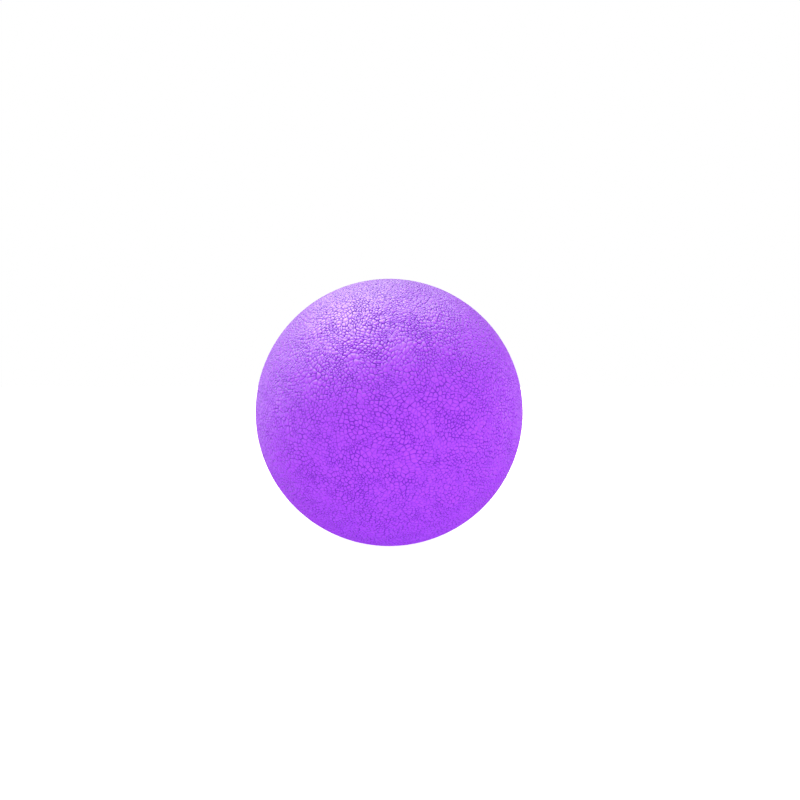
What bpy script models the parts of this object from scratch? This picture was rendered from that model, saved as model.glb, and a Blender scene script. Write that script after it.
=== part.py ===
"""Inflated playground ball with a needle valve.

Two rubber cover halves are bonded over a wound nylon carcass, which holds an airtight bladder.
The valve is a flanged rubber housing with a self-sealing plug, backed by a patch inside the bladder.

The origin is the centre of the ball.
+Y points out through the valve, +Z is up, and the cover halves meet in the XZ plane.
Every piece is turned about one axis, so it is drawn as a profile of (radius, height) pairs.
Height is measured along that axis, towards the valve.
"""

import math

import bpy

# Driving dimensions, in metres.
BALL_DIAMETER = 0.2159
COVER_THICKNESS = 0.0013
WINDING_THICKNESS = 0.0004
BLADDER_THICKNESS = 0.0008
PATCH_THICKNESS = 0.0008
PATCH_RADIUS = 0.0160
CLEARANCE = 0.0003

# Roundness. Every layer has the same facets, so nested layers stay parallel.
STEPS = 40
ARC_STEP = 2 * math.pi / STEPS
EQUATOR = STEPS // 4
FAR_POLE = STEPS // 2
PLUG_STEPS = 24
MERGE_DISTANCE = 0.00001

# Valve housing: the stem goes out through the layers and the flange sits inside them.
STEM_RADIUS = 0.0046
STEM_CHAMFER = 0.0003
FLANGE_RADIUS = 0.0120
FLANGE_RIM = 0.0007
FLANGE_ROOT = 0.0016
FLANGE_ROOT_RADIUS = 0.0072
BOSS_RADIUS = 0.0060
BOSS_TIP_RADIUS = 0.0056
BOSS_CHAMFER = 0.0008
VALVE_LENGTH = 0.0200
BORE_RADIUS = 0.0029
BORE_FLOOR = 0.0012
AIR_HOLE_RADIUS = 0.0016

# Self-sealing plug, held in the housing by a collar.
PLUG_RADIUS = BORE_RADIUS - CLEARANCE
PLUG_RECESS = 0.0005
PLUG_CHAMFER = 0.0003
COLLAR_DEPTH = 0.0085
COLLAR_HEIGHT = 0.0018
COLLAR_RADIUS = 0.0033
COLLAR_SLOPE = 0.0005
NEEDLE_RADIUS = 0.0009
NEEDLE_MOUTH_RADIUS = 0.0015
NEEDLE_MOUTH_DEPTH = 0.0008
NEEDLE_DEPTH = 0.0130
NEEDLE_TIP = 0.0009

# Radius of each surface, from the outside in.
COVER_OUTER = BALL_DIAMETER / 2
COVER_INNER = COVER_OUTER - COVER_THICKNESS
WINDING_OUTER = COVER_INNER - CLEARANCE
WINDING_INNER = WINDING_OUTER - WINDING_THICKNESS
BLADDER_OUTER = WINDING_INNER - CLEARANCE
BLADDER_INNER = BLADDER_OUTER - BLADDER_THICKNESS
PATCH_OUTER = BLADDER_INNER - CLEARANCE
PATCH_INNER = PATCH_OUTER - PATCH_THICKNESS
FLANGE_OUTER = PATCH_INNER - CLEARANCE

HOLE_RADIUS = STEM_RADIUS + CLEARANCE

COLOURS = {
    "cover": ((0.376, 0.060, 0.890), 0.45),
    "winding": ((0.780, 0.760, 0.700), 0.80),
    "bladder": ((0.030, 0.030, 0.032), 0.60),
    "patch": ((0.045, 0.045, 0.048), 0.70),
    "valve": ((0.035, 0.032, 0.040), 0.50),
    "plug": ((0.110, 0.105, 0.115), 0.45),
}


def clear_scene():
    """Remove every object that the scene starts with."""
    for obj in list(bpy.data.objects):
        bpy.data.objects.remove(obj, do_unlink=True)


def make_material(name):
    """Principled material in one of the ball's colours."""
    colour, roughness = COLOURS[name]
    material = bpy.data.materials.new(name)
    material.use_nodes = True
    shader = material.node_tree.nodes["Principled BSDF"]
    shader.inputs["Base Color"].default_value = (*colour, 1.0)
    shader.inputs["Roughness"].default_value = roughness
    shader.inputs["Metallic"].default_value = 0.0
    material.diffuse_color = (*colour, 1.0)
    return material


def arc(radius, first, last):
    """Profile points at whole facet corners, counted from the valve pole."""
    step = 1 if last >= first else -1
    corners = range(first, last + step, step)
    return [(radius * math.sin(i * ARC_STEP), radius * math.cos(i * ARC_STEP)) for i in corners]


def pole(radius):
    """Profile point on the axis, at the pole away from the valve."""
    return (0.0, -radius)


def near_valve(radius, distance):
    """Profile point on a layer's first facet, at a distance from the axis."""
    return (distance, radius - distance * math.tan(ARC_STEP / 2))


def near_equator(radius, height):
    """Profile point on the facets beside the equator, at a height above it."""
    return (radius - abs(height) * math.tan(ARC_STEP / 2), height)


def cover_profiles():
    """Profiles of the two halves, which meet in a joint cut at 45 degrees through the cover."""
    half_lap = COVER_THICKNESS / 2
    half_gap = CLEARANCE / math.sqrt(2)

    back = [near_valve(COVER_OUTER, HOLE_RADIUS)]
    back += arc(COVER_OUTER, 1, EQUATOR - 1)
    back += [near_equator(COVER_OUTER, half_lap + half_gap)]
    back += [near_equator(COVER_INNER, half_gap - half_lap)]
    back += arc(COVER_INNER, EQUATOR, 1)
    back += [near_valve(COVER_INNER, HOLE_RADIUS)]

    front = [pole(COVER_INNER)]
    front += arc(COVER_INNER, FAR_POLE - 1, EQUATOR + 1)
    front += [near_equator(COVER_INNER, -half_lap - half_gap)]
    front += [near_equator(COVER_OUTER, half_lap - half_gap)]
    front += arc(COVER_OUTER, EQUATOR, FAR_POLE - 1)
    front += [pole(COVER_OUTER)]
    return front, back


def layer_profile(outer, inner):
    """Profile of a whole spherical layer with a hole for the valve stem.

    It starts and ends at the far pole, and goes over the hole's wall between its two faces.
    """
    profile = [pole(inner)]
    profile += arc(inner, FAR_POLE - 1, 1)
    profile += [near_valve(inner, HOLE_RADIUS), near_valve(outer, HOLE_RADIUS)]
    profile += arc(outer, 1, FAR_POLE - 1)
    profile += [pole(outer)]
    return profile


def patch_profile():
    """Profile of the disc that spreads the flange's load over the bladder."""
    return [
        near_valve(PATCH_OUTER, HOLE_RADIUS),
        near_valve(PATCH_OUTER, PATCH_RADIUS),
        near_valve(PATCH_INNER, PATCH_RADIUS),
        near_valve(PATCH_INNER, HOLE_RADIUS),
    ]


def housing_profile():
    """Profile of the valve housing: stem, flange, boss, and the bore with its collar groove."""
    face = COVER_OUTER
    tip = face - VALVE_LENGTH
    groove_top = face - COLLAR_DEPTH + CLEARANCE
    groove_bottom = face - COLLAR_DEPTH - COLLAR_HEIGHT - CLEARANCE
    groove_radius = COLLAR_RADIUS + CLEARANCE

    rim_radius, rim_height = near_valve(FLANGE_OUTER, FLANGE_RADIUS)
    root_height = near_valve(FLANGE_OUTER, FLANGE_ROOT_RADIUS)[1] - FLANGE_ROOT
    return [
        (BORE_RADIUS, face),
        (STEM_RADIUS - STEM_CHAMFER, face),
        (STEM_RADIUS, face - STEM_CHAMFER),
        near_valve(FLANGE_OUTER, STEM_RADIUS),
        (rim_radius, rim_height),
        (rim_radius, rim_height - FLANGE_RIM),
        (FLANGE_ROOT_RADIUS, root_height),
        (BOSS_RADIUS, root_height - (FLANGE_ROOT_RADIUS - BOSS_RADIUS)),
        (BOSS_TIP_RADIUS, tip + BOSS_CHAMFER),
        (BOSS_TIP_RADIUS - BOSS_CHAMFER, tip),
        (AIR_HOLE_RADIUS, tip),
        (AIR_HOLE_RADIUS, tip + BORE_FLOOR),
        (BORE_RADIUS, tip + BORE_FLOOR),
        (BORE_RADIUS, groove_bottom),
        (groove_radius, groove_bottom + COLLAR_SLOPE),
        (groove_radius, groove_top - COLLAR_SLOPE),
        (BORE_RADIUS, groove_top),
    ]


def plug_profile():
    """Profile of the plug: its collar outside, and the blind needle hole down the middle."""
    top = COVER_OUTER - PLUG_RECESS
    bottom = COVER_OUTER - VALVE_LENGTH + BORE_FLOOR + CLEARANCE
    collar_top = COVER_OUTER - COLLAR_DEPTH
    collar_bottom = collar_top - COLLAR_HEIGHT
    return [
        (0.0, top - NEEDLE_DEPTH - NEEDLE_TIP),
        (NEEDLE_RADIUS, top - NEEDLE_DEPTH),
        (NEEDLE_RADIUS, top - NEEDLE_MOUTH_DEPTH),
        (NEEDLE_MOUTH_RADIUS, top),
        (PLUG_RADIUS - PLUG_CHAMFER, top),
        (PLUG_RADIUS, top - PLUG_CHAMFER),
        (PLUG_RADIUS, collar_top),
        (COLLAR_RADIUS, collar_top - COLLAR_SLOPE),
        (COLLAR_RADIUS, collar_bottom + COLLAR_SLOPE),
        (PLUG_RADIUS, collar_bottom),
        (PLUG_RADIUS, bottom + PLUG_CHAMFER),
        (PLUG_RADIUS - PLUG_CHAMFER, bottom),
        (0.0, bottom),
    ]


def turn(name, profile, material, steps, parts, axis):
    """Make an object by turning a profile about the parent's Z axis.

    A profile that starts on the axis is left open there. Any other profile is a closed loop.
    """
    count = len(profile)
    edges = [(i, i + 1) for i in range(count - 1)]
    if profile[0][0] > 0.0:
        edges.append((count - 1, 0))
    mesh = bpy.data.meshes.new(name)
    mesh.from_pydata([(radius, 0.0, height) for radius, height in profile], edges, [])
    mesh.materials.append(material)

    obj = bpy.data.objects.new(name, mesh)
    obj.parent = axis
    parts.objects.link(obj)

    screw = obj.modifiers.new("Turn", "SCREW")
    screw.axis = "Z"
    screw.angle = 2 * math.pi
    screw.screw_offset = 0.0
    screw.steps = steps
    screw.render_steps = steps
    screw.use_merge_vertices = True
    screw.merge_threshold = MERGE_DISTANCE
    screw.use_smooth_shade = True
    return obj


def build_ball():
    """Make every piece of the ball under one empty, whose Z axis goes out through the valve."""
    parts = bpy.data.collections.new("playground_ball")
    bpy.context.scene.collection.children.link(parts)

    axis = bpy.data.objects.new("valve_axis", None)
    axis.rotation_euler = (-math.pi / 2, 0.0, 0.0)
    axis.empty_display_size = BALL_DIAMETER / 2
    parts.objects.link(axis)

    materials = {name: make_material(name) for name in COLOURS}
    front, back = cover_profiles()
    winding = layer_profile(WINDING_OUTER, WINDING_INNER)
    bladder = layer_profile(BLADDER_OUTER, BLADDER_INNER)

    turn("cover_front", front, materials["cover"], STEPS, parts, axis)
    turn("cover_back", back, materials["cover"], STEPS, parts, axis)
    turn("winding", winding, materials["winding"], STEPS, parts, axis)
    turn("bladder", bladder, materials["bladder"], STEPS, parts, axis)
    turn("valve_patch", patch_profile(), materials["patch"], STEPS, parts, axis)
    turn("valve_housing", housing_profile(), materials["valve"], STEPS, parts, axis)
    turn("valve_plug", plug_profile(), materials["plug"], PLUG_STEPS, parts, axis)


clear_scene()
build_ball()
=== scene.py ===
"""Looks of the playground ball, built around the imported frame.

Each cover half is a closed shell whose outside is a real relief of irregular leather-like pebbles.
All sizes are in metres, in the frame of the CAD model: the valve is on +Y and +Z is up.
"""

import math

import bpy
import numpy as np
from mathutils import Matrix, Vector
from mathutils.geometry import delaunay_2d_cdt


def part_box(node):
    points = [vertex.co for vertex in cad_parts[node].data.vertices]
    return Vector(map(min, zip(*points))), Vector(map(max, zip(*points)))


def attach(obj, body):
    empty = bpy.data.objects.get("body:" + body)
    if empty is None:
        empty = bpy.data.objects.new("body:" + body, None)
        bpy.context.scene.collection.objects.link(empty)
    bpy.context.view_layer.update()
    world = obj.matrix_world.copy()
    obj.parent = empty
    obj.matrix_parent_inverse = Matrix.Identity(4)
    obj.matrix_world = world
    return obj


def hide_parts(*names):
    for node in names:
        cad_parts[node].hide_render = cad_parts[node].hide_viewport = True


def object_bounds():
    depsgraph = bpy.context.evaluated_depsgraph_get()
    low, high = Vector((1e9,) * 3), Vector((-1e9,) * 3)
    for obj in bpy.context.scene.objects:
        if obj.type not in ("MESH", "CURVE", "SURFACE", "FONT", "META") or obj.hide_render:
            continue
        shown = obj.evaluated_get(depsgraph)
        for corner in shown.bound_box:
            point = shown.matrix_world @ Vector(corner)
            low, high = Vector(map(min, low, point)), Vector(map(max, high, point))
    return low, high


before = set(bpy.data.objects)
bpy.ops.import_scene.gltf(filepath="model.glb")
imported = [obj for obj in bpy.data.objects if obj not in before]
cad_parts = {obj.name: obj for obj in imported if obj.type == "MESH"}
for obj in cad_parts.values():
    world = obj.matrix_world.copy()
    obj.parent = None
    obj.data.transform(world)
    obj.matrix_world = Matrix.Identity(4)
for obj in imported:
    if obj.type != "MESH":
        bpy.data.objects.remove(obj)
cad_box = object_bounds()

# ---------------------------------------------------------------- sizes read from the frame
cover_low, cover_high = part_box("cover_front")
BALL_RADIUS = (cover_high[0] - cover_low[0]) / 2
WINDING_RADIUS = (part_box("winding")[1][0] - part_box("winding")[0][0]) / 2
WINDING_GAP = 0.00025
COVER_INSIDE = WINDING_RADIUS + WINDING_GAP
VALVE_LOW, VALVE_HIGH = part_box("valve_housing")
PLUG_LOW, PLUG_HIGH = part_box("valve_plug")

# ---------------------------------------------------------------- the cover's grain
FRONT_SEED, BACK_SEED, WARP_SEED = 11, 23, 41
PEBBLES = 21000  # on the whole ball
EVENNESS = 0.5  # part of the way that each pebble moves to the middle of its cell
CLUSTER_SIZE = 6  # pebbles in a cluster, on average
CREASE_DEPTH = 0.00075  # of the long creases, which run between clusters
FINE_CREASE = 0.75  # depth of the others, as a part of that
FAINT_CREASE = 0.25
FAINT_SHARE = 0.20  # of the creases inside clusters
DEPTH_SPREAD = 0.4, 1.5  # random factor at each corner of the creases
EDGE_DEPTH = 0.5  # where the grain meets smooth rubber
DEEPEST = 1.4
PATCH_WAVELENGTH = 0.035  # of the slow change in depth over the ball
PATCH_STRENGTH = 0.25
PATCH_LIMITS = 0.7, 1.3
CREASE_HALF_WIDTH = 0.00062
WIDTH_SPREAD = 0.8, 1.4
INSET_LIMITS = 0.15, 0.55  # of a rim, as a part of the way to the pebble's middle
DOME_HEIGHT = 0.00008
PEBBLE_LIFT = 0.00003
PEBBLE_TILT = 0.025
MERGE_CORNERS = 0.00036
FLATNESS = 0.42  # how far a pebble's shading is level at its rim
WARP_WAVELENGTH = 0.045
WARP_SHIFT = 0.0030
WARP_STEPS = 4
WARP_WAVES = 16
WARP_FADE = 0.16  # angle over which the warp dies out at a zone's edge
SEAM_LAND = 0.00060
LAND_SINK = 0.00003
RIDGE_HEIGHT = 0.00010
RIDGE_HALF_WIDTH = 0.00018
PAD_RADIUS = 0.0088
HOLE_RADIUS = 0.0049
RIM_STEPS = 720
INSIDE_STEPS = 20
ROUND_STEPS = 96
COVER_SHARP, VALVE_SHARP = 62, 40  # degrees between faces that are shaded as an edge
RIM_RELIEF = 0.8  # the relief value is 0 in the deepest creases and 1 on top of a pebble
LAND_RELIEF = 0.9

# ---------------------------------------------------------------- the valve
FACE = VALVE_HIGH[1]
VALVE_TIP = VALVE_LOW[1]
STEM_RADIUS = 0.0046
BORE_RADIUS = 0.0029
BORE_FLOOR = 0.0012
AIR_HOLE_RADIUS = 0.0016
FLANGE_RADIUS = VALVE_HIGH[0]
FLANGE_TOP = 0.10345  # of the cone that the flange's top lies on
FLANGE_SLOPE = math.tan(math.radians(4.5))
FLANGE_RIM = 0.0007
FLANGE_ROOT_RADIUS = 0.0072
FLANGE_ROOT = 0.0016
BOSS_RADIUS = 0.0060
BOSS_TIP_RADIUS = 0.0056
BOSS_CHAMFER = 0.0008
COLLAR_TOP = FACE - 0.0085
COLLAR_HEIGHT = 0.0018
COLLAR_SLOPE = 0.0005
COLLAR_RADIUS = 0.0033
COLLAR_ROOM = 0.0003
PLUG_TOP = PLUG_HIGH[1]
PLUG_BOTTOM = PLUG_LOW[1]
PLUG_RADIUS = BORE_RADIUS - COLLAR_ROOM
NEEDLE_RADIUS = 0.0009
NEEDLE_DEPTH = 0.0130
MOUTH_RADIUS = 0.0015
MOUTH_DEPTH = 0.0008
ROUNDING = 0.00035
TURN_STEPS = 96

WAVE_SPREAD = 0.7, 1.4  # of the wave numbers in a random function
MIRROR_REACH = 0.14  # angle from a zone's edge within which pebbles are mirrored
SAME_ANGLE = 1e-9
SAME_POINT = 1e-10


# ================================================================ the grain as a mesh
def smooth_noise(seed, wavelength, waves=14):
    """Smooth random function of a direction, about -1 to 1, from a sum of plane waves."""
    rng = np.random.default_rng(seed)
    vectors = rng.normal(size=(waves, 3))
    vectors /= np.linalg.norm(vectors, axis=1)[:, None]
    vectors *= 2 * math.pi * BALL_RADIUS / wavelength * rng.uniform(*WAVE_SPREAD, (waves, 1))
    phases = rng.uniform(0, 2 * math.pi, waves)

    def value(directions):
        return np.sin(directions @ vectors.T + phases).sum(1) * math.sqrt(2 / waves) * 0.6

    return value


def unit(vectors):
    return vectors / np.linalg.norm(vectors, axis=-1, keepdims=True)


def polar(directions):
    """Angle from the pole, and azimuth."""
    angle = np.arccos(np.clip(directions[:, 2], -1, 1))
    return angle, np.arctan2(directions[:, 1], directions[:, 0])


def from_polar(angle, azimuth):
    around = np.sin(angle)
    return np.stack([around * np.cos(azimuth), around * np.sin(azimuth), np.cos(angle)], -1)


def mirrored(directions, low, high, reach):
    """Copies of the points near each edge of the zone, reflected across it."""
    angle, azimuth = polar(directions)
    copies = [from_polar(2 * high - angle[angle > high - reach], azimuth[angle > high - reach])]
    if low > 0:
        near = angle < low + reach
        copies.append(from_polar(2 * low - angle[near], azimuth[near]))
    return np.concatenate(copies)


def cells(directions, real):
    """Voronoi cells of the first `real` points on the sphere.

    Returns the corners, and for each side of a cell its cell, its corner and the next entry.
    """
    flat = directions[:, :2] / (1 + directions[:, 2:3])
    points = [Vector(p) for p in flat.tolist()]
    faces = delaunay_2d_cdt(points, [], [], 0, SAME_POINT)[2]
    triangles = np.array([f for f in faces if len(f) == 3])
    a, b, c = (directions[triangles[:, k]] for k in range(3))
    corners = unit(np.cross(b - a, c - a))
    corners *= np.sign((corners * a).sum(1))[:, None]

    cell = triangles.ravel()
    corner = np.repeat(np.arange(len(triangles)), 3)
    keep = cell < real
    cell, corner = cell[keep], corner[keep]
    centre = directions[cell]
    east = unit(np.cross(np.broadcast_to([0.31, 0.77, 0.56], centre.shape), centre))
    north = np.cross(centre, east)
    turn = np.arctan2((corners[corner] * north).sum(1), (corners[corner] * east).sum(1))
    order = np.lexsort((turn, cell))
    cell, corner = cell[order], corner[order]
    return corners, triangles, cell, corner, next_in_group(cell)


def next_in_group(group):
    """Index of the next entry of the same group, in a list sorted by group."""
    index = np.arange(len(group))
    last = np.append(group[1:] != group[:-1], True)
    first = np.insert(last[:-1], 0, True)
    starts = index[first][np.cumsum(first) - 1]
    following = index + 1
    following[last] = starts[last]
    return following


def centroids(directions, corners, cell, corner, following, real):
    """Area centroid of each cell."""
    seed = directions[cell]
    one, two = corners[corner], corners[corner[following]]
    area = np.linalg.norm(np.cross(one - seed, two - seed), axis=1)
    total = np.bincount(cell, area, real)
    middle = (seed + one + two) / 3
    sums = [np.bincount(cell, area * middle[:, k], real) for k in range(3)]
    return unit(np.stack(sums, 1) / total[:, None])


def merged_corners(corners, cell, corner, following, distance):
    """Joins corners that lie closer than distance, and drops the sides that vanish."""
    label = np.arange(len(corners))
    gap = np.linalg.norm(corners[corner] - corners[corner[following]], axis=1)
    for one, two in zip(corner[gap < distance], corner[following][gap < distance]):
        while label[one] != one:
            one = label[one]
        while label[two] != two:
            two = label[two]
        label[max(one, two)] = min(one, two)
    while (label[label] != label).any():
        label = label[label]
    count = np.bincount(label, minlength=len(corners))
    sums = [np.bincount(label, corners[:, k], len(corners)) for k in range(3)]
    merged = corners.copy()
    merged[count > 0] = unit(np.stack(sums, 1)[count > 0])
    corner = label[corner]
    keep = corner != corner[following]
    cell, corner = cell[keep], corner[keep]
    sides = np.bincount(cell)[cell]
    cell, corner = cell[sides > 2], corner[sides > 2]
    return merged, label, cell, corner, next_in_group(cell)


def pebble_layout(rng, low, high):
    """Random pebbles in the zone between two angles from the pole, with their shared corners.

    Returns the pebbles' places, the corners, which corners lie on the zone's edge, and for each
    side of a pebble its pebble, its corner and the next entry.
    """
    share = (math.cos(low) - math.cos(high)) / 2
    real = round(PEBBLES * share)
    angle = np.arccos(rng.uniform(math.cos(high), math.cos(low), real))
    directions = from_polar(angle, rng.uniform(-math.pi, math.pi, real))
    reach = MIRROR_REACH if low == 0 else low * 0.9
    for relax in range(2):  # the first round evens the pebbles out, the second lays out their cells
        points = np.concatenate([directions, mirrored(directions, low, high, reach)])
        corners, triangles, cell, corner, following = cells(points, real)
        if relax == 0:
            moved = centroids(points, corners, cell, corner, following, real)
            directions = unit(directions + EVENNESS * (moved - directions))
    edge = np.zeros(len(corners), bool)
    is_real = triangles < real
    edge[is_real.any(1) & ~is_real.all(1)] = True

    corners, label, cell, corner, following = merged_corners(
        corners, cell, corner, following, MERGE_CORNERS / BALL_RADIUS
    )
    on_edge = np.zeros(len(corners), bool)
    on_edge[label[edge]] = True
    used, corner = np.unique(corner, return_inverse=True)
    corners, on_edge = corners[used], on_edge[used]
    angle, azimuth = polar(corners)
    target = np.where(np.abs(angle - high) < np.abs(angle - low), high, low)
    corners[on_edge] = from_polar(target, azimuth)[on_edge]
    return directions, corners, on_edge, cell, corner, following


def clusters_of(rng, directions):
    """Number of the cluster that each pebble belongs to."""
    centres = unit(rng.normal(size=(round(PEBBLES / CLUSTER_SIZE), 3)))
    parts = [directions[k : k + 2000] @ centres.T for k in range(0, len(directions), 2000)]
    return np.concatenate([part.argmax(1) for part in parts])


def grain_zone(seed, low, high):
    """Pebbled surface of the zone between two angles from the pole +Z.

    Each pebble has a rim inside its creases. Deep creases run between clusters of pebbles, and
    finer ones inside them.
    Returns directions, heights, relief, tint, triangles, the number of the first triangle on top of
    a pebble, and the vertex rings at both edges.
    """
    rng = np.random.default_rng(seed)
    places, corners, on_edge, cell, one, following = pebble_layout(rng, low, high)
    two = one[following]
    n_corner, n_side = len(corners), len(cell)
    cell_ids, cell = np.unique(cell, return_inverse=True)
    places = places[cell_ids]
    n_cell = len(places)

    # Creases: each is shared by the two pebbles that meet in it, except on the zone's edge.
    pair = np.minimum(one, two) * n_corner + np.maximum(one, two)
    pair, crease = np.unique(pair, return_inverse=True)
    first, second = pair // n_corner, pair % n_corner
    cluster = clusters_of(rng, places)[cell]
    lowest, highest = np.full(len(pair), 1 << 30), np.full(len(pair), -1)
    np.minimum.at(lowest, crease, cluster)
    np.maximum.at(highest, crease, cluster)
    is_long = highest > lowest
    patchy = smooth_noise(seed + 1, PATCH_WAVELENGTH)
    depth = np.where(rng.uniform(size=len(pair)) < FAINT_SHARE, FAINT_CREASE, FINE_CREASE)
    depth = np.where(is_long, 1.0, depth)
    ends = np.concatenate([first, second])
    depth = np.bincount(ends, np.tile(depth, 2), n_corner) / np.bincount(ends, minlength=n_corner)
    depth *= rng.uniform(*DEPTH_SPREAD, n_corner) * np.clip(
        1 + PATCH_STRENGTH * patchy(corners), *PATCH_LIMITS
    )
    depth = np.minimum(depth, DEEPEST)
    depth[on_edge] = EDGE_DEPTH

    # Pebbles: a rim just inside the creases, a slightly domed top, and a small tilt.
    middle = centroids(places, corners, cell, one, following, n_cell)
    lift = rng.normal(0, PEBBLE_LIFT, n_cell)
    tilt = rng.normal(0, PEBBLE_TILT, (n_cell, 3))

    toward = middle[cell] - corners[one]
    width = CREASE_HALF_WIDTH * (0.5 + 0.5 * depth[one]) * rng.uniform(*WIDTH_SPREAD, n_side)
    inset = np.clip(width / BALL_RADIUS / np.linalg.norm(toward, axis=1), *INSET_LIMITS)
    inner = unit(corners[one] + toward * inset[:, None])
    slant = (tilt[cell] * (inner - middle[cell])).sum(1)

    directions = np.concatenate([corners, inner, middle])
    heights = [-CREASE_DEPTH * depth, lift[cell] + BALL_RADIUS * slant, lift + DOME_HEIGHT]
    random = rng.uniform(size=n_cell)
    crease_relief = RIM_RELIEF * (1 - np.minimum(depth, 1))
    relief = [crease_relief, np.full(n_side, RIM_RELIEF), np.full(n_cell, 1.0)]
    tint = [np.full(n_corner, 0.5), random[cell], random]

    inner_one = n_corner + np.arange(n_side)
    inner_two = n_corner + following
    hub = n_corner + n_side + cell
    corners_of = (
        (one, two, inner_two),
        (one, inner_two, inner_one),
        (hub, inner_one, inner_two),
    )
    triangles = np.concatenate([np.stack(three, 1) for three in corners_of])

    outer = np.nonzero(on_edge)[0]
    angle, azimuth = polar(directions)
    rings = []
    for limit in (low, high):
        ring = outer[np.abs(angle[outer] - limit) < SAME_ANGLE]
        rings.append(ring[np.argsort(azimuth[ring])])
    heights, relief, tint = (np.concatenate(parts) for parts in (heights, relief, tint))
    tops = len(triangles) - n_side
    return directions, heights, relief, tint, triangles, tops, rings


def level_rims(mesh, points, triangles, tops):
    """Turns the shading at the rims of the pebbles toward their flat tops."""
    loops = np.empty(triangles.size * 3, np.float32)
    mesh.corner_normals.foreach_get("vector", loops)
    loops = loops.reshape(-1, 3).astype(float)
    hub, one, two = triangles[tops[0] : tops[1]].T
    face = unit(np.cross(points[one] - points[hub], points[two] - points[hub]))
    level = np.zeros_like(points)
    np.add.at(level, one, face)
    np.add.at(level, two, face)
    vertex = triangles.ravel()
    rim = np.abs(level[vertex]).sum(1) > 0
    loops[rim] = unit((1 - FLATNESS) * loops[rim] + FLATNESS * unit(level[vertex[rim]]))
    mesh.normals_split_custom_set(loops.tolist())


class Shell:
    """A mesh put together from rings of vertices about the local Z axis."""

    def __init__(self):
        self.points, self.relief, self.tint, self.triangles = [], [], [], []
        self.count = 0
        self.tops = None  # first triangle on top of a pebble, and the one after the last

    def add(self, points, relief=1.0, tint=0.5):
        """Adds points, and returns their numbers."""
        points = np.asarray(points, float).reshape(-1, 3)
        self.points.append(points)
        self.relief.append(np.broadcast_to(relief, len(points)))
        self.tint.append(np.broadcast_to(tint, len(points)))
        numbers = np.arange(self.count, self.count + len(points))
        self.count += len(points)
        return numbers

    def ring(self, radius, height, steps, **values):
        """Adds a round ring, and returns its numbers and azimuths."""
        azimuth = -math.pi + 2 * math.pi * np.arange(steps) / steps
        level = np.full(steps, height)
        points = np.stack([radius * np.cos(azimuth), radius * np.sin(azimuth), level], 1)
        return self.add(points, **values), azimuth

    def zip(self, first, second):
        """Fills between two rings, with the outside on the left of the way from one to the other."""
        (a, angle_a), (b, angle_b) = first, second
        angle_a = np.append(angle_a, angle_a[0] + 2 * math.pi)
        angle_b = np.append(angle_b, angle_b[0] + 2 * math.pi)
        faces, i, j = [], 0, 0
        while i < len(a) or j < len(b):
            here_a, here_b = a[i % len(a)], b[j % len(b)]
            if j == len(b) or (i < len(a) and angle_a[i + 1] < angle_b[j + 1]):
                faces.append((here_a, here_b, a[(i + 1) % len(a)]))
                i += 1
            else:
                faces.append((here_a, here_b, b[(j + 1) % len(b)]))
                j += 1
        self.triangles.append(np.array(faces))

    def cap(self, ring, point, **values):
        """Closes a ring at a point on the axis."""
        numbers, _ = ring
        tip = self.add([point], **values)[0]
        after = np.roll(numbers, -1)
        self.triangles.append(np.stack([numbers, np.full(len(numbers), tip), after], 1))

    def build(self, name, toward_valve, sharp=COVER_SHARP):
        """Makes the object, with local +Z turned to +Y, or to -Y for the front."""
        x, y, z = np.concatenate(self.points).T
        points = np.stack([x, z, -y] if toward_valve else [x, -z, y], 1)
        triangles = np.concatenate(self.triangles)
        mesh = bpy.data.meshes.new(name)
        mesh.vertices.add(len(points))
        mesh.vertices.foreach_set("co", points.ravel())
        mesh.loops.add(triangles.size)
        mesh.loops.foreach_set("vertex_index", triangles.ravel())
        mesh.polygons.add(len(triangles))
        mesh.polygons.foreach_set("loop_start", np.arange(0, triangles.size, 3))
        mesh.update(calc_edges=True)
        mesh.validate()
        for key, values in (("relief", self.relief), ("tint", self.tint)):
            layer = mesh.attributes.new(key, "FLOAT", "POINT")
            layer.data.foreach_set("value", np.concatenate(values).astype(np.float32))
        mesh.shade_smooth()
        mesh.set_sharp_from_angle(angle=math.radians(sharp))
        if self.tops:
            level_rims(mesh, points, triangles, self.tops)
        obj = bpy.data.objects.new(name, mesh)
        bpy.context.scene.collection.objects.link(obj)
        return obj


def warped(directions, low, high):
    """Slides points round and round along the sphere, so that the grain is stretched in places.

    The flow follows the level lines of a smooth random function, so it keeps the pebbles' areas.
    """
    angle, _ = polar(directions)
    room = np.clip((high - angle) / WARP_FADE, 0, 1)
    if low > 0:
        room *= np.clip((angle - low) / WARP_FADE, 0, 1)
    room = room * room * (3 - 2 * room)
    rng = np.random.default_rng(WARP_SEED)
    waves = unit(rng.normal(size=(WARP_WAVES, 3))) * 2 * math.pi * BALL_RADIUS / WARP_WAVELENGTH
    waves *= rng.uniform(*WAVE_SPREAD, (WARP_WAVES, 1))
    phases = rng.uniform(0, 2 * math.pi, WARP_WAVES)
    step = WARP_SHIFT / BALL_RADIUS / WARP_STEPS
    for _ in range(WARP_STEPS):
        slope = np.cos(directions @ waves.T + phases) @ unit(waves) * math.sqrt(2 / WARP_WAVES)
        directions = unit(directions + step * room[:, None] * np.cross(directions, slope))
    return directions


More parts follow.
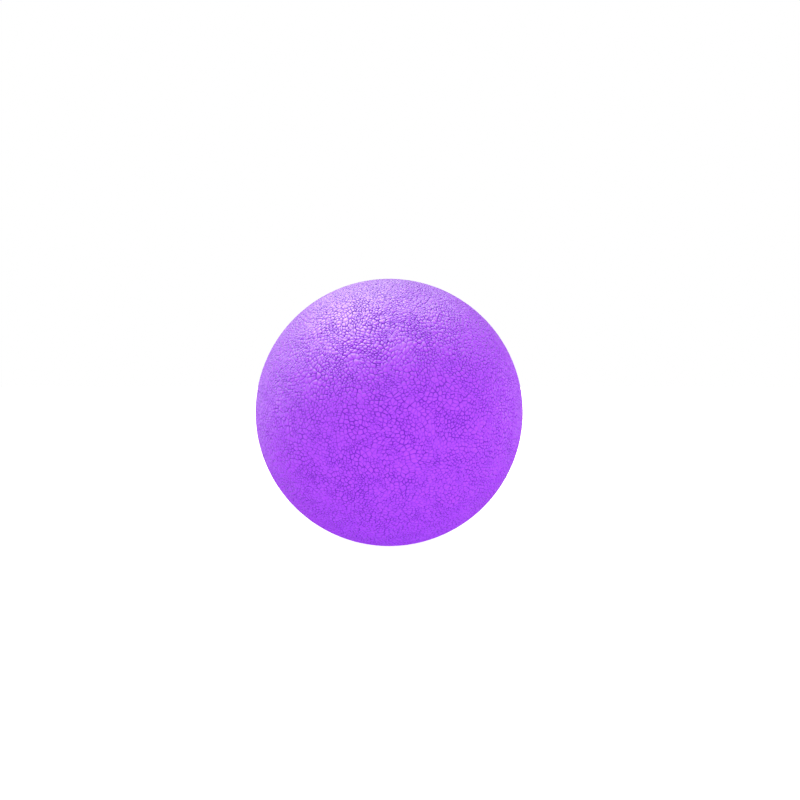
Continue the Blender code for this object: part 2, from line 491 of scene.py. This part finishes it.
def cover_half(name, seed, toward_valve):
    """One half of the cover: pebbled outside, seam land with its fine ridge, plain inside."""
    low = PAD_RADIUS / BALL_RADIUS if toward_valve else 0.0
    high = math.pi / 2 - SEAM_LAND / BALL_RADIUS
    directions, heights, relief, tint, triangles, tops, rings = grain_zone(seed, low, high)
    directions = warped(directions, low, high)
    shell = Shell()
    points = directions * (BALL_RADIUS + heights)[:, None]
    shell.add(points, relief, tint)
    shell.triangles.append(triangles)
    shell.tops = tops, len(triangles)

    def edge_ring(ring):
        return ring, np.arctan2(points[ring, 1], points[ring, 0])

    def copied(ring, distance, lift):
        """A ring under each point of another, at a distance from the seam's plane."""
        numbers, azimuth = ring
        radius = math.sqrt((BALL_RADIUS + lift) ** 2 - distance**2)
        level = np.full(len(numbers), distance)
        around = np.stack([radius * np.cos(azimuth), radius * np.sin(azimuth), level], 1)
        return shell.add(around, LAND_RELIEF), azimuth

    path = [edge_ring(rings[1])]
    for distance, lift in (
        (SEAM_LAND * 0.75, -LAND_SINK),
        (RIDGE_HALF_WIDTH * 1.6, -LAND_SINK),
        (RIDGE_HALF_WIDTH * 0.7, RIDGE_HEIGHT),
    ):
        path.append(copied(path[0], distance, lift))
    path.append(shell.ring(BALL_RADIUS + RIDGE_HEIGHT, 0.0, RIM_STEPS))
    last = HOLE_RADIUS / COVER_INSIDE if toward_valve else math.pi / 2 / INSIDE_STEPS
    for angle in np.linspace(math.pi / 2, last, INSIDE_STEPS):
        inside = COVER_INSIDE * math.sin(angle), COVER_INSIDE * math.cos(angle)
        path.append(shell.ring(*inside, ROUND_STEPS))
    if toward_valve:
        for radius, sink in (  # the hole's rounded rim, then the smooth pad, falling outward
            (HOLE_RADIUS, 0.00050),
            (HOLE_RADIUS + 0.00004, 0.00028),
            (HOLE_RADIUS + 0.00018, 0.00018),
            (HOLE_RADIUS + 0.00040, 0.00014),
            (HOLE_RADIUS + 0.00160, 0.00020),
            (PAD_RADIUS - 0.00160, 0.00032),
            (PAD_RADIUS - 0.00050, 0.00045),
        ):
            path.append(shell.ring(radius, BALL_RADIUS - sink, ROUND_STEPS))
        path.append(edge_ring(rings[0]))
    else:
        shell.cap(path[-1], (0.0, 0.0, COVER_INSIDE))
    for upper, lower in zip(path, path[1:]):
        shell.zip(upper, lower)
    return shell.build(name, toward_valve)


def rounded(profile, closed):
    """The profile with each corner replaced by a short curve."""
    points = [np.array(point) for point in profile]
    result = [] if closed else [profile[0]]
    inner = range(len(points)) if closed else range(1, len(points) - 1)
    for i in inner:
        before, here, after = points[i - 1], points[i], points[(i + 1) % len(points)]
        lengths = [np.linalg.norm(other - here) for other in (before, after)]
        cut = min(ROUNDING, *(0.45 * length for length in lengths))
        start = here + (before - here) * cut / lengths[0]
        end = here + (after - here) * cut / lengths[1]
        for t in np.linspace(0, 1, 5):
            point = (1 - t) ** 2 * start + 2 * t * (1 - t) * here + t * t * end
            result.append(tuple(float(v) for v in point))
    return result if closed else [*result, profile[-1]]


def turned(name, profile):
    """A closed solid turned about the valve's axis from (radius, height) points.

    The profile goes down the outside, then back up the inside. It may start and end on the axis.
    """
    shell = Shell()
    closed = profile[0][0] > 0.0
    profile = rounded(profile, closed)
    body = profile if closed else profile[1:-1]
    path = [shell.ring(radius, height, TURN_STEPS) for radius, height in body]
    if closed:
        path.append(path[0])
    else:
        top = shell.add([(0.0, 0.0, profile[0][1])])[0]
        numbers = path[0][0]
        fan = [np.full(TURN_STEPS, top), numbers, np.roll(numbers, -1)]
        shell.triangles.append(np.stack(fan, 1))
        shell.cap(path[-1], (0.0, 0.0, profile[-1][1]))
    for upper, lower in zip(path, path[1:]):
        shell.zip(upper, lower)
    return shell.build(name, True, VALVE_SHARP)


def valve_housing():
    """Stem, flange and boss, with the bore, the collar's groove and the air hole."""
    rim = FLANGE_TOP - FLANGE_RADIUS * FLANGE_SLOPE
    root = FLANGE_TOP - FLANGE_ROOT_RADIUS * FLANGE_SLOPE - FLANGE_ROOT
    groove_top = COLLAR_TOP + COLLAR_ROOM
    groove_bottom = COLLAR_TOP - COLLAR_HEIGHT - COLLAR_ROOM
    groove_radius = COLLAR_RADIUS + COLLAR_ROOM
    profile = [
        (BORE_RADIUS, FACE),
        (STEM_RADIUS, FACE),
        (STEM_RADIUS, FLANGE_TOP - STEM_RADIUS * FLANGE_SLOPE),
        (FLANGE_RADIUS, rim),
        (FLANGE_RADIUS, rim - FLANGE_RIM),
        (FLANGE_ROOT_RADIUS, root),
        (BOSS_RADIUS, root - (FLANGE_ROOT_RADIUS - BOSS_RADIUS)),
        (BOSS_TIP_RADIUS, VALVE_TIP + BOSS_CHAMFER),
        (BOSS_TIP_RADIUS - BOSS_CHAMFER, VALVE_TIP),
        (AIR_HOLE_RADIUS, VALVE_TIP),
        (AIR_HOLE_RADIUS, VALVE_TIP + BORE_FLOOR),
        (BORE_RADIUS, VALVE_TIP + BORE_FLOOR),
        (BORE_RADIUS, groove_bottom),
        (groove_radius, groove_bottom + COLLAR_SLOPE),
        (groove_radius, groove_top - COLLAR_SLOPE),
        (BORE_RADIUS, groove_top),
    ]
    return turned("valve_housing_body", profile)


def valve_plug():
    """Plug with its collar outside, and the blind needle hole with its funnel mouth inside."""
    collar_bottom = COLLAR_TOP - COLLAR_HEIGHT
    profile = [
        (0.0, PLUG_TOP - NEEDLE_DEPTH - NEEDLE_RADIUS),
        (NEEDLE_RADIUS, PLUG_TOP - NEEDLE_DEPTH),
        (NEEDLE_RADIUS, PLUG_TOP - MOUTH_DEPTH),
        (MOUTH_RADIUS, PLUG_TOP),
        (PLUG_RADIUS, PLUG_TOP),
        (PLUG_RADIUS, COLLAR_TOP),
        (COLLAR_RADIUS, COLLAR_TOP - COLLAR_SLOPE),
        (COLLAR_RADIUS, collar_bottom + COLLAR_SLOPE),
        (PLUG_RADIUS, collar_bottom),
        (PLUG_RADIUS, PLUG_BOTTOM),
        (0.0, PLUG_BOTTOM),
    ]
    return turned("valve_plug_body", profile)


# ================================================================ materials
def new_material(name):
    """Principled material, with its nodes, links and shader."""
    material = bpy.data.materials.new(name)
    material.use_nodes = True
    nodes, links = material.node_tree.nodes, material.node_tree.links
    return material, nodes, links, nodes["Principled BSDF"]


def object_noise(nodes, links, scale, detail=3.0, roughness=0.55):
    """Noise in the object's own coordinates, with a scale in 1/m."""
    coordinates = nodes.new("ShaderNodeTexCoord")
    noise = nodes.new("ShaderNodeTexNoise")
    noise.inputs["Scale"].default_value = scale
    noise.inputs["Detail"].default_value = detail
    noise.inputs["Roughness"].default_value = roughness
    links.new(coordinates.outputs["Object"], noise.inputs["Vector"])
    return noise.outputs["Fac"]


def hairlines(nodes, links, scale):
    """Distance to the nearest line of a fine network of cracks, with cells a metre/scale wide."""
    coordinates = nodes.new("ShaderNodeTexCoord")
    cracks = nodes.new("ShaderNodeTexVoronoi")
    cracks.feature = "DISTANCE_TO_EDGE"
    cracks.inputs["Scale"].default_value = scale
    links.new(coordinates.outputs["Object"], cracks.inputs["Vector"])
    return cracks.outputs["Distance"]


def mapped(nodes, links, value, low, high, to_low, to_high):
    """Value moved from one range to another, held inside it."""
    node = nodes.new("ShaderNodeMapRange")
    node.inputs["From Min"].default_value = low
    node.inputs["From Max"].default_value = high
    node.inputs["To Min"].default_value = to_low
    node.inputs["To Max"].default_value = to_high
    links.new(value, node.inputs["Value"])
    return node.outputs["Result"]


def maths(nodes, links, operation, one, two):
    """Result of a maths node on two sockets or numbers."""
    node = nodes.new("ShaderNodeMath")
    node.operation = operation
    for slot, value in enumerate((one, two)):
        if isinstance(value, (int, float)):
            node.inputs[slot].default_value = value
        else:
            links.new(value, node.inputs[slot])
    return node.outputs[0]


def blended(nodes, links, amount, one, two):
    """Colour between two colours."""
    node = nodes.new("ShaderNodeMix")
    node.data_type = "RGBA"
    links.new(amount, node.inputs["Factor"])
    for slot, value in (("A", one), ("B", two)):
        socket = next(i for i in node.inputs if i.name == slot and i.type == "RGBA")
        if isinstance(value, tuple):
            socket.default_value = (*value, 1.0)
        else:
            links.new(value, socket)
    return next(o for o in node.outputs if o.type == "RGBA")


def bumped(nodes, links, shader, height, distance, strength=1.0):
    """Bump of a height in metres."""
    bump = nodes.new("ShaderNodeBump")
    bump.inputs["Strength"].default_value = strength
    bump.inputs["Distance"].default_value = distance
    links.new(height, bump.inputs["Height"])
    links.new(bump.outputs["Normal"], shader.inputs["Normal"])


def attribute(nodes, name):
    node = nodes.new("ShaderNodeAttribute")
    node.attribute_name = name
    return node.outputs["Fac"]


PURPLE = (0.405, 0.026, 0.940)
PAINTED_CREASE_SHADE = (0.44, 0.20, 0.60)  # painted shade for the creases, as a part of the purple
LIGHT_TONE = (1.08, 1.30, 1.03)
MOTTLE_PURPLE = (0.33, 0.05, 0.84)
COVER_ROUGHNESS = 0.74, 0.54  # in the creases, and on the pebbles
RUBBER_IOR = 1.60
SKIN_DEPTH = 0.00005


def cover_material():
    """Satin purple rubber: painted shade that darkens the creases, pebbles that differ slightly, a
    fine skin texture.
    """
    material, nodes, links, shader = new_material("cover_rubber")
    relief, tint = attribute(nodes, "relief"), attribute(nodes, "tint")
    mottle = object_noise(nodes, links, 22.0, 4.0)
    fine = object_noise(nodes, links, 1600.0, 2.0)
    hairs = mapped(nodes, links, hairlines(nodes, links, 560.0), 0.0, 0.10, 0.0, 1.0)
    # Painted shade: the colour turns darker toward the bottoms of the creases, following the relief.
    crease = tuple(c * k for c, k in zip(PURPLE, PAINTED_CREASE_SHADE))
    colour = blended(nodes, links, mapped(nodes, links, relief, 0.36, 0.86, 0, 1), crease, PURPLE)
    shade = mapped(nodes, links, tint, 0, 1, 0.0, 0.5)
    light = tuple(min(c * k, 1.0) for c, k in zip(PURPLE, LIGHT_TONE))
    colour = blended(nodes, links, shade, colour, light)
    patch = mapped(nodes, links, mottle, 0.35, 0.65, 0.0, 0.10)
    colour = blended(nodes, links, patch, colour, MOTTLE_PURPLE)
    links.new(colour, shader.inputs["Base Color"])
    rough = mapped(nodes, links, relief, 0.0, 1.0, *COVER_ROUGHNESS)
    rough = maths(nodes, links, "ADD", rough, mapped(nodes, links, mottle, 0.3, 0.7, -0.03, 0.03))
    links.new(rough, shader.inputs["Roughness"])
    shader.inputs["IOR"].default_value = RUBBER_IOR
    skin = maths(nodes, links, "ADD", hairs, maths(nodes, links, "MULTIPLY", fine, 0.4))
    bumped(nodes, links, shader, skin, SKIN_DEPTH, 0.8)
    return material


def rubber_material(name, colour, dust, roughness, grain=900.0):
    """Moulded rubber with powdery patches, a fine grain and small scratches in its gloss."""
    material, nodes, links, shader = new_material(name)
    cloudy = object_noise(nodes, links, 140.0, 5.0)
    fine = object_noise(nodes, links, grain, 3.0)
    powder = mapped(nodes, links, cloudy, 0.42, 0.72, 0.0, 0.55)
    specks = mapped(nodes, links, fine, 0.50, 0.75, 0.0, 0.45)
    amount = maths(nodes, links, "MAXIMUM", powder, specks)
    links.new(blended(nodes, links, amount, colour, dust), shader.inputs["Base Color"])
    low, high = roughness
    links.new(mapped(nodes, links, amount, 0.0, 0.5, low, high), shader.inputs["Roughness"])
    shader.inputs["IOR"].default_value = 1.52
    bumped(nodes, links, shader, fine, 0.00006, 0.7)
    return material


def thread_material():
    """Nylon thread wound in three directions, set in thin rubber cement."""
    material, nodes, links, shader = new_material("wound_nylon")
    coordinates = nodes.new("ShaderNodeTexCoord")
    strands = None
    for turn in ((0.3, 0.0, 0.9), (1.2, 0.5, -0.6), (-0.9, 0.8, 0.2)):
        mapping = nodes.new("ShaderNodeMapping")
        mapping.inputs["Rotation"].default_value = turn
        links.new(coordinates.outputs["Object"], mapping.inputs["Vector"])
        wave = nodes.new("ShaderNodeTexWave")
        wave.inputs["Scale"].default_value = 330.0
        wave.inputs["Distortion"].default_value = 2.5
        wave.inputs["Detail Scale"].default_value = 1.5
        links.new(mapping.outputs["Vector"], wave.inputs["Vector"])
        lines = wave.outputs["Fac"]
        strands = lines if strands is None else maths(nodes, links, "MAXIMUM", strands, lines)
    cloudy = object_noise(nodes, links, 60.0, 4.0)
    cement = mapped(nodes, links, strands, 0.35, 0.95, 1.0, 0.0)
    colour = blended(nodes, links, cement, (0.80, 0.77, 0.70), (0.42, 0.38, 0.31))
    stain = mapped(nodes, links, cloudy, 0.4, 0.7, 0.0, 0.4)
    colour = blended(nodes, links, stain, colour, (0.62, 0.56, 0.46))
    links.new(colour, shader.inputs["Base Color"])
    links.new(mapped(nodes, links, strands, 0.3, 1.0, 0.85, 0.6), shader.inputs["Roughness"])
    bumped(nodes, links, shader, strands, 0.00012, 0.9)
    return material


VALVE_BLACK = (0.030, 0.028, 0.034)
PLUG_GREY = (0.105, 0.100, 0.110)
BUTYL_BLACK = (0.026, 0.026, 0.028)
PATCH_BLACK = (0.042, 0.042, 0.045)

cover = cover_material()
housing = rubber_material("valve_rubber", VALVE_BLACK, (0.075, 0.070, 0.078), (0.38, 0.60))
plug = rubber_material("plug_rubber", PLUG_GREY, (0.190, 0.180, 0.190), (0.42, 0.65), 1300.0)
for obj, node, slot, material in (
    (cover_half("cover_front_skin", FRONT_SEED, False), "cover_front", "cover", cover),
    (cover_half("cover_back_skin", BACK_SEED, True), "cover_back", "cover", cover),
    (valve_housing(), "valve_housing", "valve", housing),
    (valve_plug(), "valve_plug", "plug", plug),
):
    obj.data.materials.append(material)
    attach(obj, "root")
    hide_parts(node)

# The layers inside keep their CAD shapes.
for node, material in (
    ("winding", thread_material()),
    ("bladder", rubber_material("butyl", BUTYL_BLACK, (0.110, 0.108, 0.104), (0.50, 0.80))),
    ("valve_patch", rubber_material("patch_rubber", PATCH_BLACK, (0.095, 0.093, 0.092), (0.6, 0.8))),
):
    layer = bpy.data.objects[node]
    layer.data.materials.clear()
    layer.data.materials.append(material)


# ================================================================ floor, lights and camera
FLOOR_GAP = 0.00012  # leaves room for the ridge of the parting line
FLOOR_LEVEL = cad_box[0][2] - FLOOR_GAP
FLOOR_RADIUS = 6.0
FLOOR_GLOW = 0.97, 1.70  # beside the ball, and far from it
GLOW_REACH = 0.10, 0.90
WORLD_FILL = 0.79
CAMERA_DISTANCE = 1.53
CAMERA_LENS, SENSOR_WIDTH = 85.0, 36.0
CAMERA_LIFT = math.radians(2.0)
AIM_RIGHT, AIM_UP = 0.008748, 0.010044  # from the ball's centre, to frame it as the photograph does


def floor():
    """Pale floor with a glow of its own, so that it meets the backdrop unseen."""
    bpy.ops.mesh.primitive_circle_add(
        vertices=ROUND_STEPS, radius=FLOOR_RADIUS, fill_type="NGON", location=(0, 0, FLOOR_LEVEL)
    )
    obj = bpy.context.object
    obj.name = "floor"
    material, nodes, links, shader = new_material("floor_paper")
    shader.inputs["Base Color"].default_value = (0.4, 0.4, 0.4, 1)
    shader.inputs["Roughness"].default_value = 0.9
    shader.inputs["Specular IOR Level"].default_value = 0.0
    shader.inputs["Emission Color"].default_value = (1, 1, 1, 1)
    coordinates = nodes.new("ShaderNodeTexCoord")
    distance = nodes.new("ShaderNodeVectorMath")
    distance.operation = "LENGTH"
    links.new(coordinates.outputs["Object"], distance.inputs[0])
    glow = mapped(nodes, links, distance.outputs["Value"], *GLOW_REACH, *FLOOR_GLOW)
    links.new(glow, shader.inputs["Emission Strength"])
    obj.data.materials.append(material)
    obj.visible_glossy = False


def softbox(name, direction, size, energy, kind):
    """Square area light aimed at the ball's centre, seen by diffuse or by glossy rays only."""
    data = bpy.data.lights.new(name, "AREA")
    data.shape = "SQUARE"
    data.size = size
    data.energy = energy
    obj = bpy.data.objects.new(name, data)
    obj.location = LIGHT_DISTANCE * Vector(direction).normalized()
    obj.rotation_euler = (-obj.location).to_track_quat("-Z", "Y").to_euler()
    obj.visible_diffuse = kind == "diffuse"
    obj.visible_glossy = kind == "glossy"
    bpy.context.scene.collection.objects.link(obj)


def camera():
    """Camera in front of the ball, turned so that the ball lies where the photograph has it."""
    data = bpy.data.cameras.new("camera")
    data.lens = CAMERA_LENS
    data.sensor_width = SENSOR_WIDTH
    obj = bpy.data.objects.new("camera", data)
    place = CAMERA_DISTANCE * Vector((0, -math.cos(CAMERA_LIFT), math.sin(CAMERA_LIFT)))
    right, up = Vector((1, 0, 0)), Vector((0, math.sin(CAMERA_LIFT), math.cos(CAMERA_LIFT)))
    aim = AIM_RIGHT * right + AIM_UP * up
    obj.location = place
    obj.rotation_euler = (aim - place).to_track_quat("-Z", "Y").to_euler()
    bpy.context.scene.collection.objects.link(obj)
    bpy.context.scene.camera = obj


def studio_world(fill):
    """White backdrop, and a dimmer fill light that glossy rays do not see."""
    world = bpy.data.worlds.new("studio")
    world.use_nodes = True
    nodes, links = world.node_tree.nodes, world.node_tree.links
    background = nodes["Background"]
    background.inputs["Color"].default_value = (1, 1, 1, 1)
    path = nodes.new("ShaderNodeLightPath")
    links.new(
        mapped(nodes, links, path.outputs["Is Camera Ray"], 0, 1, fill, 1.0),
        background.inputs["Strength"],
    )
    bpy.context.scene.world = world
    world.cycles_visibility.glossy = False


LIGHT_DISTANCE = 1.9
SOFTBOXES = (  # name, direction from the ball, size, power in watts, and the rays that see it
    ("fill_right", (0.55, -0.80, 0.15), 1.3, 6.9, "diffuse"),
    ("highlight", (-0.34, 0.12, 0.93), 1.2, 96.0, "glossy"),
    ("glow_left", (-0.60, 0.00, 0.80), 1.6, 34.0, "glossy"),
    ("glow_right", (0.30, 0.20, 0.93), 1.2, 32.0, "glossy"),
    ("rim_right", (0.80, 0.60, 0.35), 1.0, 2.0, "glossy"),
    ("low_left", (-0.82, 0.55, 0.02), 0.7, 15.0, "glossy"),
    ("low_right", (0.82, 0.55, 0.02), 0.7, 7.0, "glossy"),
)

floor()
camera()
studio_world(WORLD_FILL)
for box in SOFTBOXES:
    softbox(*box)
bpy.context.scene.view_settings.view_transform = "Standard"
